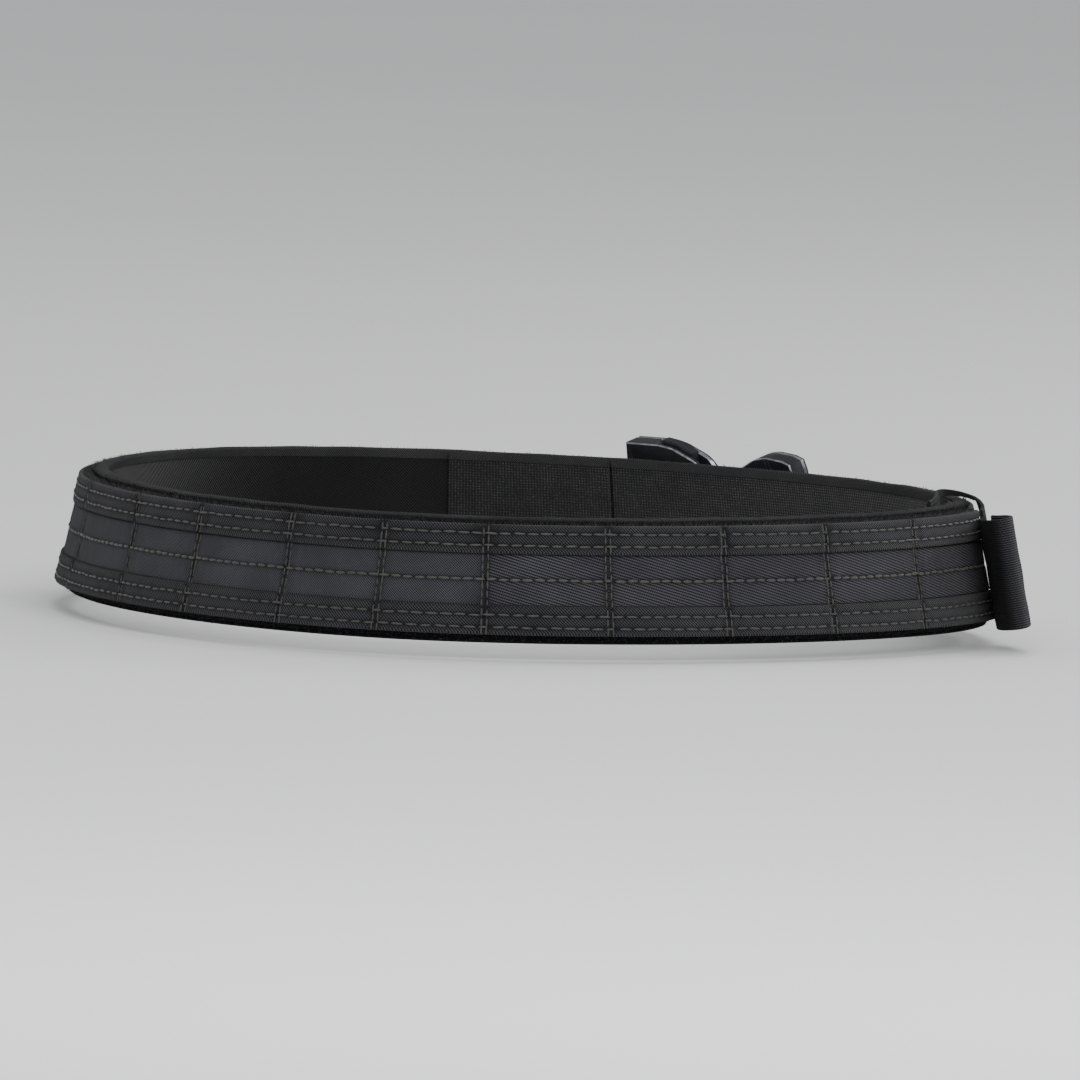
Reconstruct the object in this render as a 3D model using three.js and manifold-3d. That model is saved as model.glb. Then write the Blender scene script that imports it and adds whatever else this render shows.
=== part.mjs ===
// A two-layer load belt closed into a hoop: a hook-and-loop inner belt, a stitched outer belt over it,
// a folded pull loop on the outer belt's end and a two-lever metal buckle at the front.
// Millimetres, +Z up. The hoop stands on the inner belt's lower edge, and the buckle is on its +Y side.
import * as THREE from "three";
import { mergeVertices } from "three/addons/utils/BufferGeometryUtils.js";
import Module from "manifold-3d";

const wasm = await Module();
wasm.setup();

// --- Driving dimensions -------------------------------------------------------------------------

const DEG = Math.PI / 180;
const BELT_HEIGHT = 40; // inner belt, along its slanted face
const FLARE = 11.4 * DEG; // the hoop is wider at its lower edge
const MEAN_RADIUS = 136; // of the inner face at the upper edge
// Each harmonic [turns, cosine, sine] bends the round hoop into the worn shape of a waist.
const HARMONICS = [
  [2, -3.2, -7.5],
  [3, 6.7, 1.8],
  [4, 1.3, -0.6],
];
const STEP = 5 * DEG; // stations round the hoop
const CLEAR = 0.3; // gap between neighbouring layers

// Layers, as distances out from the inner face.
const LINING = [0, 0.9];
const CORE = [1.2, 2.8];
const LOOP_FACE = [3.1, 4];
const HOOK_FACE = [4.3, 5.1];
const OUTER_CORE = [5.4, 7.2];
const EDGE_BAND = [7.5, 8.7];
const CENTRE_BAND = [7.5, 8.1];
const FLAP = [-1.5, -0.3];

// Heights along the slanted face.
const BINDING = 0.8; // rolled edge of the inner belt
const OUTER_LOW = 3;
const OUTER_HIGH = 38;
const EDGE_BAND_WIDTH = 9.4;

// Ends of the strips, as plan angles of the face's outward direction, anticlockwise from +X.
const PANEL_START = 104 * DEG; // front left, beside the buckle
const PANEL_END = 350 * DEG; // right end, beside the pull loop
const OVERLAP_EDGE = 84.2 * DEG; // free end of the inner belt, seen inside the hoop
const FLAP_ROOT = 66 * DEG;

// Front straps, the free tail beside the buckle, and the folded webbing at the right end.
const STRAP = [4.7, 6.3];
const STRAP_LOW = 1.8;
const STRAP_HEIGHT = 37;
const WEB = 1.6;
const TAIL_START = 37.3 * DEG;
const TAIL_END = 45 * DEG;

// Buckle, in its own frame: x along the belt, y down the face, z out from it. The female half is at -x.
const BUCKLE_ANGLE = 56.5 * DEG;
const BUCKLE_END = 32;
const SHOULDER = 25;
const BACK = [0.3, 2.3];
const INSIDE = [2.6, 7.4];
const FRONT = [7.7, 9.9];
const BAR_X = 25;
const BAR_OUT = 2.9;
const BAR_RADIUS = 2;
const BAR_TURN = 6.6 * DEG; // from the buckle's middle to a strap bar, round the hoop
const WINDOW_WIDTH = 9;
const LEVER_PIVOT = [-12, 13];
const PIN_RADIUS = 1.5;
const SCREW_RADIUS = 1;
const SCREW_HEAD = 1.9;

// --- The hoop's surface -------------------------------------------------------------------------

function support(angle) {
  let value = MEAN_RADIUS;
  let slope = 0;
  for (const [turns, cosine, sine] of HARMONICS) {
    value += cosine * Math.cos(turns * angle) + sine * Math.sin(turns * angle);
    slope += turns * (sine * Math.cos(turns * angle) - cosine * Math.sin(turns * angle));
  }
  return [value, slope];
}

// The point whose face looks along `angle`, `out` from the inner face and `height` up the slant.
function hoopPoint(angle, out, height) {
  const [value, slope] = support(angle);
  const reach = value + out + (BELT_HEIGHT - height) * Math.sin(FLARE);
  return new THREE.Vector3(
    reach * Math.cos(angle) - slope * Math.sin(angle),
    reach * Math.sin(angle) + slope * Math.cos(angle),
    height * Math.cos(FLARE),
  );
}

// --- Solids -------------------------------------------------------------------------------------

function meshGeometry(points, faces) {
  const geometry = new THREE.BufferGeometry();
  geometry.setAttribute("position", new THREE.Float32BufferAttribute(points.flatMap((p) => p.toArray()), 3));
  geometry.setIndex(faces.flat());
  geometry.computeVertexNormals();
  return geometry;
}

// Sweeps four-cornered sections into a closed strip, joined end to end when `closed`.
function sweep(sections, closed) {
  const faces = [];
  const count = sections.length;
  const spans = closed ? count : count - 1;
  for (let i = 0; i < spans; i += 1) {
    const here = 4 * i;
    const next = 4 * ((i + 1) % count);
    for (let k = 0; k < 4; k += 1) {
      const m = (k + 1) % 4;
      faces.push([here + k, next + k, next + m], [here + k, next + m, here + m]);
    }
  }
  if (!closed) {
    const last = 4 * (count - 1);
    faces.push([0, 1, 2], [0, 2, 3]);
    faces.push([last, last + 2, last + 1], [last, last + 3, last + 2]);
  }
  return meshGeometry(sections.flat(), faces);
}

function hoopSection(angle, [near, far], low, high) {
  return [
    hoopPoint(angle, far, low),
    hoopPoint(angle, far, high),
    hoopPoint(angle, near, high),
    hoopPoint(angle, near, low),
  ];
}

function hoopStrip(layer, low, high, start = 0, end = 2 * Math.PI) {
  const closed = end - start >= 2 * Math.PI - 1e-6;
  const angles = [start];
  for (let a = STEP * (Math.floor(start / STEP) + 1); a < end - 1e-6; a += STEP) angles.push(a);
  if (!closed) angles.push(end);
  return sweep(angles.map((a) => hoopSection(a, layer, low, high)), closed);
}

// A strip standing on edge along a plan curve, in a face frame: `points` are [along, out] pairs.
function bandAlong(points, thickness, low, high) {
  const curve = new THREE.CatmullRomCurve3(points.map(([x, out]) => new THREE.Vector3(x, 0, out)));
  const steps = 5 * (points.length - 1);
  const sections = [];
  for (let i = 0; i <= steps; i += 1) {
    const centre = curve.getPoint(i / steps);
    const heading = curve.getTangent(i / steps);
    const side = new THREE.Vector3(heading.z, 0, -heading.x).multiplyScalar(thickness / 2);
    const corner = (height, sign) =>
      centre.clone().addScaledVector(side, sign).setY(BELT_HEIGHT / 2 - height);
    sections.push([corner(low, -1), corner(low, 1), corner(high, 1), corner(high, -1)]);
  }
  return sweep(sections, false);
}

function solidOf(geometry) {
  const bare = geometry.clone();
  bare.deleteAttribute("normal");
  bare.deleteAttribute("uv");
  const merged = mergeVertices(bare, 1e-4);
  return new wasm.Manifold(
    new wasm.Mesh({
      numProp: 3,
      vertProperties: merged.attributes.position.array,
      triVerts: new Uint32Array(merged.index.array),
    }),
  );
}

function geometryOf(solid) {
  const { vertProperties, triVerts } = solid.getMesh();
  const geometry = new THREE.BufferGeometry();
  geometry.setAttribute("position", new THREE.BufferAttribute(vertProperties, 3));
  geometry.setIndex(new THREE.BufferAttribute(triVerts, 1));
  geometry.computeVertexNormals();
  return geometry;
}

function cut(geometry, ...tools) {
  return geometryOf(tools.reduce((left, tool) => left.subtract(solidOf(tool)), solidOf(geometry)));
}

function join(geometry, ...others) {
  return geometryOf(others.reduce((sum, other) => sum.add(solidOf(other)), solidOf(geometry)));
}

function box(width, height, depth, x, y, z) {
  return new THREE.BoxGeometry(width, height, depth).translate(x, y, z);
}

// A plate with the given outline in the buckle's face plane, `depth` thick from `from` outwards.
function plate(outline, depth, from, bevel = 0.6) {
  const shape = new THREE.Shape(outline.map(([x, y]) => new THREE.Vector2(x, y)));
  const options = {
    depth: depth - 2 * bevel,
    bevelEnabled: true,
    bevelThickness: bevel,
    bevelSize: bevel,
    bevelOffset: -bevel,
    bevelSegments: 1,
  };
  return new THREE.ExtrudeGeometry(shape, options).translate(0, 0, from + bevel);
}

function rod(radius, length, x, y, z, axis, sides = 16) {
  const geometry = new THREE.CylinderGeometry(radius, radius, length, sides);
  if (axis === "z") geometry.rotateX(Math.PI / 2);
  if (axis === "x") geometry.rotateZ(Math.PI / 2);
  return geometry.translate(x, y, z);
}

// --- Colours ------------------------------------------------------------------------------------

const finish = (color, roughness, metalness = 0) =>
  new THREE.MeshStandardMaterial({ color, roughness, metalness });
const BLACK_LOOP = finish(0x121214, 0.95);
const BLACK_WEBBING = finish(0x17171a, 0.8);
const GREY_TWILL = finish(0x47474e, 0.75);
const GREY_WEBBING = finish(0x3d3d44, 0.8);
const GUNMETAL = finish(0x2b2b30, 0.4, 0.9);
const STEEL = finish(0x8c8c90, 0.35, 1);

const belt = new THREE.Group();

function add(name, geometry, material, parent = belt) {
  const mesh = new THREE.Mesh(geometry, material);
  mesh.name = name;
  parent.add(mesh);
  return mesh;
}

// --- Inner belt ---------------------------------------------------------------------------------

function innerBelt() {
  const low = BINDING + CLEAR;
  const high = BELT_HEIGHT - BINDING - CLEAR;
  add("inner_belt_core", hoopStrip(CORE, low, high), BLACK_WEBBING);
  add("inner_loop_face", hoopStrip(LOOP_FACE, low, high), BLACK_LOOP);
  add("inner_lining", hoopStrip(LINING, low, high), BLACK_WEBBING);
  const rolled = [LINING[0], LOOP_FACE[1]];
  add("inner_lower_binding", hoopStrip(rolled, 0, BINDING), BLACK_LOOP);
  add("inner_upper_binding", hoopStrip(rolled, BELT_HEIGHT - BINDING, BELT_HEIGHT), BLACK_LOOP);
  const lapStart = -14 * DEG;
  add("inner_lap_lining", hoopStrip(FLAP, low, high, lapStart, FLAP_ROOT - 0.4 * DEG), BLACK_LOOP);
  add("inner_overlap_flap", hoopStrip(FLAP, low, high, FLAP_ROOT, OVERLAP_EDGE), BLACK_LOOP);
}

// --- Outer belt ---------------------------------------------------------------------------------

function outerBelt() {
  const panel = [PANEL_START, PANEL_END];
  const bandTop = OUTER_LOW + EDGE_BAND_WIDTH;
  const bandFoot = OUTER_HIGH - EDGE_BAND_WIDTH;
  add("outer_hook_lining", hoopStrip(HOOK_FACE, OUTER_LOW + 1, OUTER_HIGH - 1, ...panel), BLACK_LOOP);
  add("outer_belt_core", hoopStrip(OUTER_CORE, OUTER_LOW, OUTER_HIGH, ...panel), BLACK_WEBBING);
  add("lower_edge_band", hoopStrip(EDGE_BAND, OUTER_LOW, bandTop, ...panel), GREY_TWILL);
  add("upper_edge_band", hoopStrip(EDGE_BAND, bandFoot, OUTER_HIGH, ...panel), GREY_TWILL);
  add("centre_band", hoopStrip(CENTRE_BAND, bandTop + CLEAR, bandFoot - CLEAR, ...panel), GREY_WEBBING);
}

// --- Frames beside the hoop ----------------------------------------------------------------------

// x runs along the belt towards smaller plan angles, y down the slanted face, z out of it.
function faceFrame(angle, out) {
  const group = new THREE.Group();
  const outward = new THREE.Vector3(
    Math.cos(angle) * Math.cos(FLARE),
    Math.sin(angle) * Math.cos(FLARE),
    Math.sin(FLARE),
  );
  const along = new THREE.Vector3(Math.sin(angle), -Math.cos(angle), 0);
  const down = new THREE.Vector3().crossVectors(outward, along);
  group.position.copy(hoopPoint(angle, out, BELT_HEIGHT / 2));
  group.setRotationFromMatrix(new THREE.Matrix4().makeBasis(along, down, outward));
  belt.add(group);
  group.updateMatrixWorld(true);
  return group;
}

// --- Right end: pull loop and end tab -------------------------------------------------------------

function rightEnd() {
  const end = faceFrame(PANEL_END, EDGE_BAND[1]);
  const loop = [
    [-2, 1.2],
    [8, 1.9],
    [20, 4],
    [32, 8],
    [39.5, 12],
    [41, 14.5],
    [36.5, 15.8],
    [27, 15],
    [17, 12],
    [8, 7.6],
    [-1, 4.2],
  ];
  add("pull_loop", bandAlong(loop, WEB, 1.5, 37), GREY_WEBBING, end);
  add("end_tab", endTab(), BLACK_WEBBING);
}

// The end tab stands on edge beside the belt's end, crosses over its rim and turns back down inside.
// Each station is [plan angle in degrees, out, lower edge, upper edge].
const TAB_STATIONS = [
  [353, 8.6, 8, 39],
  [356.5, 9.2, 10, 41],
  [359, 9.2, 40.7, 42.4],
  [362.5, 7, 40.7, 43.4],
  [364, 2.5, 40.7, 43.6],
  [361.5, -2.8, 40.7, 43.2],
  [357.5, -4.8, 34, 42.6],
  [349, -4.4, 31, 41.6],
  [341, -4.3, 31, 40.6],
];

function endTab() {
  const edge = (k) =>
    new THREE.CatmullRomCurve3(
      TAB_STATIONS.map((station) => hoopPoint(station[0] * DEG, station[1], station[k])),
    );
  const [lowEdge, highEdge] = [edge(2), edge(3)];
  const steps = 4 * (TAB_STATIONS.length - 1);
  const sections = [];
  for (let i = 0; i <= steps; i += 1) {
    const [low, high] = [lowEdge.getPoint(i / steps), highEdge.getPoint(i / steps)];
    const heading = highEdge.getTangent(i / steps).setZ(0).normalize();
    const side = new THREE.Vector3(heading.y, -heading.x, 0).multiplyScalar(WEB / 2);
    const corner = (point, sign) => point.clone().addScaledVector(side, sign);
    sections.push([corner(low, -1), corner(low, 1), corner(high, 1), corner(high, -1)]);
  }
  return sweep(sections, false);
}

// --- Front straps ---------------------------------------------------------------------------------

function strapEye(frame, x) {
  const inner = BAR_RADIUS + CLEAR;
  const eye = rod(inner + WEB, STRAP_HEIGHT, x, 0, BAR_OUT, "y", 20);
  const bore = rod(inner, STRAP_HEIGHT + 2, x, 0, BAR_OUT, "y", 20);
  return cut(eye, bore).applyMatrix4(frame.matrixWorld);
}

function frontStraps(frame) {
  const edges = [STRAP_LOW, STRAP_LOW + STRAP_HEIGHT];
  const gap = 0.3 * DEG;
  const left = hoopStrip(STRAP, ...edges, BUCKLE_ANGLE + BAR_TURN, PANEL_START - gap);
  const right = hoopStrip(STRAP, ...edges, PANEL_END - 360 * DEG + gap, BUCKLE_ANGLE - BAR_TURN);
  add("left_front_strap", join(left, strapEye(frame, -BAR_X)), BLACK_WEBBING);
  add("right_front_strap", join(right, strapEye(frame, BAR_X)), BLACK_WEBBING);
  const tailLayer = [STRAP[1] + CLEAR, STRAP[1] + CLEAR + WEB];
  add("strap_tail", hoopStrip(tailLayer, ...edges, TAIL_START, TAIL_END), BLACK_WEBBING);
}

// --- Buckle -----------------------------------------------------------------------------------------

const mirrored = (points) => points.map(([x, y]) => [x, -y]).reverse();

// Half of an outline on one side of the belt's centre line, closed with its own mirror image.
const symmetric = (edge) => [...edge, ...mirrored(edge)];

const FEMALE_OUTLINE = symmetric([
  [-1, 15],
  [-5.4, 20.1],
  [-9.7, 22.1],
  [-14.1, 24.1],
  [-19.4, SHOULDER],
  [-BUCKLE_END, SHOULDER],
]);
const MALE_OUTLINE = symmetric([
  [BUCKLE_END, 17.5],
  [30.6, 21.6],
  [27.7, 22.7],
  [21.3, 23.5],
  [17, 22.6],
  [12.6, 20],
  [7.2, 15.5],
]);

const depthOf = ([from, to]) => to - from;

function slab(outline, layer, bevel) {
  return plate(outline, depthOf(layer), layer[0], bevel);
}

function barWindow(x) {
  return box(WINDOW_WIDTH, STRAP_HEIGHT + 1.4, 40, x, 0, 0);
}

function barChannel(x) {
  return rod(BAR_RADIUS + CLEAR, 2 * (SHOULDER - 3.7), x, 0, BAR_OUT, "y");
}

function screwHole(x, y) {
  return rod(SCREW_RADIUS + CLEAR, 12, x, y, 9, "z", 12);
}

function screw(name, x, y, frame) {
  const shank = rod(SCREW_RADIUS, FRONT[1] - 3, x, y, (FRONT[1] + 3) / 2 + CLEAR, "z", 12);
  const head = rod(SCREW_HEAD, 1.1, x, y, FRONT[1] + CLEAR + 0.55, "z", 12);
  const slot = box(0.6, 4, 1, x, y, FRONT[1] + CLEAR + 1.1);
  add(name, cut(join(head, shank), slot), STEEL, frame);
}

const FEMALE_SCREWS = [
  ["rear_upper_screw", -30.2, -21.3],
  ["rear_lower_screw", -30.2, 21.3],
  ["nose_upper_screw", -4, -12],
  ["nose_lower_screw", -4, 12],
];
const MALE_SCREWS = [
  ["male_upper_screw", 13.5, -16.5],
  ["male_lower_screw", 13.5, 16.5],
];

function femaleHalf(frame) {
  const back = slab(FEMALE_OUTLINE, BACK, 0.4);
  const rearBlock = slab(
    symmetric([
      [-20.6, 22.4],
      [-22.6, SHOULDER],
      [-BUCKLE_END, SHOULDER],
    ]),
    [BACK[1] - 0.5, INSIDE[1]],
    0.05,
  );
  const nose = (side) => box(6, 3.4, INSIDE[1] - 2, -4.2, side * 12.1, (INSIDE[1] + 2) / 2);
  const post = box(4, 2.4, INSIDE[1] - 2, -17.2, 0, (INSIDE[1] + 2) / 2);
  const holes = FEMALE_SCREWS.map(([, x, y]) => screwHole(x, y));
  const body = join(back, rearBlock, nose(1), nose(-1), post);
  add("female_body", cut(body, barWindow(-BAR_X), barChannel(-BAR_X), ...holes), GUNMETAL, frame);
  const cover = slab(FEMALE_OUTLINE, FRONT, 0.7);
  add("female_cover", cut(cover, barWindow(-BAR_X), ...holes), GUNMETAL, frame);
  add("left_strap_bar", rod(BAR_RADIUS, 2 * (SHOULDER - 4), -BAR_X, 0, BAR_OUT, "y"), STEEL, frame);
  FEMALE_SCREWS.forEach(([name, x, y]) => screw(name, x, y, frame));
}

function lever(label, side, frame) {
  const profile = [
    [-8.4, 9.8],
    [-8.4, 22.2],
    [-13, 24.9],
    [-19.2, 26],
    [-19.6, 9.8],
  ];
  const outline = side > 0 ? profile : mirrored(profile);
  const [x, y] = LEVER_PIVOT;
  const hole = rod(PIN_RADIUS + CLEAR, 12, x, side * y, 5, "z");
  add(`${label}_lever`, cut(slab(outline, INSIDE, 0.5), hole), GUNMETAL, frame);
  const middle = (INSIDE[0] + INSIDE[1]) / 2;
  add(`${label}_lever_pin`, rod(PIN_RADIUS, depthOf(INSIDE), x, side * y, middle, "z"), STEEL, frame);
  const leaf = box(8.6, 0.9, 3, -7.6, side * 8.95, middle);
  const hook = box(2.6, 2, 3, -4.6, side * 7.9, middle);
  add(`${label}_catch`, join(leaf, hook), STEEL, frame);
  add(`${label}_lever_spring`, coilSpring(-17.2, side * 1.6, side * 9.4, middle), STEEL, frame);
}

// A compression spring standing along y between `from` and `to`.
function coilSpring(x, from, to, z) {
  const turns = 5;
  const radius = 1.3;
  const wire = 0.25;
  const ends = Math.sign(to - from) * (wire + 0.05);
  const points = [];
  for (let i = 0; i <= 8 * turns; i += 1) {
    const along = THREE.MathUtils.lerp(from + ends, to - ends, i / (8 * turns));
    const turn = (i / 8) * 2 * Math.PI;
    points.push(new THREE.Vector3(x + radius * Math.cos(turn), along, z + radius * Math.sin(turn)));
  }
  const section = new THREE.Shape();
  section.absarc(0, 0, wire, 0, 2 * Math.PI);
  const extrudePath = new THREE.CatmullRomCurve3(points);
  return new THREE.ExtrudeGeometry(section, { steps: 8 * turns, curveSegments: 3, extrudePath });
}

function maleHalf(frame) {
  const shell = slab(MALE_OUTLINE, [BACK[0], INSIDE[1]], 0.4);
  const tongue = box(19, 16.2, 3.4, -0.3, 0, 5);
  const notch = (side) => box(3.8, 2.4, 5, -4.6, side * 7.7, 5);
  const holes = MALE_SCREWS.map(([, x, y]) => screwHole(x, y));
  const body = join(shell, tongue);
  add(
    "male_body",
    cut(body, notch(1), notch(-1), barWindow(BAR_X), barChannel(BAR_X), ...holes),
    GUNMETAL,
    frame,
  );
  add("male_cover", cut(slab(MALE_OUTLINE, FRONT, 0.7), barWindow(BAR_X), ...holes), GUNMETAL, frame);
  add("right_strap_bar", rod(BAR_RADIUS, 2 * (SHOULDER - 5.5), BAR_X, 0, BAR_OUT, "y"), STEEL, frame);
  MALE_SCREWS.forEach(([name, x, y]) => screw(name, x, y, frame));
}

const buckleFrame = faceFrame(BUCKLE_ANGLE, HOOK_FACE[0]);
innerBelt();
outerBelt();
rightEnd();
frontStraps(buckleFrame);
femaleHalf(buckleFrame);
lever("upper", -1, buckleFrame);
lever("lower", 1, buckleFrame);
maleHalf(buckleFrame);

// The origin is the middle of the belt's box, on the surface that it stands on.
const extent = new THREE.Box3().setFromObject(belt, true);
const middle = extent.getCenter(new THREE.Vector3());
belt.position.set(-middle.x, -middle.y, -extent.min.z);

export default belt;
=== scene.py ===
import bpy
import bmesh
import math
import random
from mathutils import Matrix, Vector, noise


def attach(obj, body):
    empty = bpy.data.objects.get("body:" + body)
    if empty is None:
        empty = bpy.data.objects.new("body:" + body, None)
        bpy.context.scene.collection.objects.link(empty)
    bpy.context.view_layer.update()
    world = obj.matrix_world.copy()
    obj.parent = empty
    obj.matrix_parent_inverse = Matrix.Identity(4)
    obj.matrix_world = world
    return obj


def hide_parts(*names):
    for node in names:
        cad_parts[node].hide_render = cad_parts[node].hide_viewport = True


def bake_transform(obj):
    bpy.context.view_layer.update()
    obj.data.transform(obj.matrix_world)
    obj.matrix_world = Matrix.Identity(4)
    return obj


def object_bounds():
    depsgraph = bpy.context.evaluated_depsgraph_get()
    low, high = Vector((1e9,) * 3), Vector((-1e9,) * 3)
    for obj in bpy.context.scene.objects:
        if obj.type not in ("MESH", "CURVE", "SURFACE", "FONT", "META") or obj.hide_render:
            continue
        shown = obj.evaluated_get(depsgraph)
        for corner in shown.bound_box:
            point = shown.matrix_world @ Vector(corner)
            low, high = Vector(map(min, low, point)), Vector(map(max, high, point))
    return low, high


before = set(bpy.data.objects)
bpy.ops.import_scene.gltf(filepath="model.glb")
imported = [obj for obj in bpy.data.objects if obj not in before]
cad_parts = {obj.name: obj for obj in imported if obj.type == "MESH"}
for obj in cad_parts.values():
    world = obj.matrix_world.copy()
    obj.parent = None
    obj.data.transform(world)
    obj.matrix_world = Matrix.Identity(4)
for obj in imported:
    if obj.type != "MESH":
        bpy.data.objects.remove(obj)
cad_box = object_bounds()

MM = 0.001
DEG = math.pi / 180

# --- The belt's own sizes, in metres and radians ---------------------------------------------------

BELT_HEIGHT = 40 * MM
FLARE = 11.4 * DEG
MEAN_RADIUS = 136 * MM
HARMONICS = [(2, -3.2 * MM, -7.5 * MM), (3, 6.7 * MM, 1.8 * MM), (4, 1.3 * MM, -0.6 * MM)]
PANEL_START = 104 * DEG
PANEL_END = 350 * DEG
FULL_TURN = 360 * DEG
FLAP_ROOT = 66 * DEG
OVERLAP_EDGE = 84.2 * DEG
LAP_START = -14 * DEG
LAP_END = FLAP_ROOT - 0.4 * DEG
OUTER_LOW = 3 * MM
OUTER_HIGH = 38 * MM
BAND_WIDTH = 9.4 * MM
WEB = 1.6 * MM
STRAP_LOW = 1.8 * MM
STRAP_HIGH = 38.8 * MM
STRAP_OUT = 5.5 * MM  # middle of the front straps' thickness, out from the inner face
TAIL_START = 37.3 * DEG
TAIL_END = 45 * DEG


def support(angle):
    """How far the hoop's inner face stands from the middle at a plan angle, and how fast that changes."""
    value, slope = MEAN_RADIUS, 0.0
    for turns, cosine, sine in HARMONICS:
        value += cosine * math.cos(turns * angle) + sine * math.sin(turns * angle)
        slope += turns * (sine * math.cos(turns * angle) - cosine * math.sin(turns * angle))
    return value, slope


def raw_hoop(angle, out, height):
    value, slope = support(angle)
    reach = value + out + (BELT_HEIGHT - height) * math.sin(FLARE)
    return Vector((
        reach * math.cos(angle) - slope * math.sin(angle),
        reach * math.sin(angle) + slope * math.cos(angle),
        height * math.cos(FLARE),
    ))


# Where the hoop's own middle, at the foot of the inner belt, stands in the shared frame.
SHIFT = Vector((-11.4517, 2.8814, 5.2689)) * MM


def hoop(angle, out, height):
    return raw_hoop(angle, out, height) + SHIFT


def outward(angle):
    return Vector((math.cos(angle) * math.cos(FLARE), math.sin(angle) * math.cos(FLARE), math.sin(FLARE)))


def arc_table(out, height):
    """Plan angles from 0 to a full turn with the distance walked along the hoop at each."""
    steps = 1440
    table = [(0.0, 0.0)]
    before = raw_hoop(0, out, height)
    for i in range(1, steps + 1):
        angle = FULL_TURN * i / steps
        here = raw_hoop(angle, out, height)
        table.append((angle, table[-1][1] + (here - before).length))
        before = here
    return table


ARC = arc_table(8 * MM, BELT_HEIGHT / 2)
ROUND = ARC[-1][1]


def arc_at(angle):
    turns = math.floor(angle / FULL_TURN)
    share = (angle / FULL_TURN - turns) * (len(ARC) - 1)
    i = min(int(share), len(ARC) - 2)
    return turns * ROUND + ARC[i][1] + (ARC[i + 1][1] - ARC[i][1]) * (share - i)


def angle_at(arc):
    turns = math.floor(arc / ROUND)
    rest = arc - turns * ROUND
    low, high = 0, len(ARC) - 1
    while high - low > 1:
        mid = (low + high) // 2
        if ARC[mid][1] <= rest:
            low = mid
        else:
            high = mid
    (a0, s0), (a1, s1) = ARC[low], ARC[high]
    return turns * FULL_TURN + a0 + (a1 - a0) * (rest - s0) / (s1 - s0)


# The sewn channels' widths along the panel, counted back from the pull loop.
CHANNEL_WIDTHS = [54.3, 42.4, 40.3, 40.2, 39.5, 33.6, 34.5, 42.1, 39.9, 51.0, 40.0, 38.5, 38.5, 38.5, 38.5]
PANEL_ARC = (arc_at(PANEL_START), arc_at(PANEL_END))
COLUMNS = [PANEL_ARC[1] - sum(CHANNEL_WIDTHS[: i + 1]) * MM for i in range(len(CHANNEL_WIDTHS))]
COLUMNS = [column for column in COLUMNS if column > PANEL_ARC[0] + 6 * MM]
WEBBING_FROM = COLUMNS[4]  # the centre band is twill before this column and ribbed webbing after it


def bump_noise(x, y, scale, seed):
    return noise.noise(Vector((x / scale, y / scale, seed)))


# --- Material kit ----------------------------------------------------------------------------------

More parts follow.
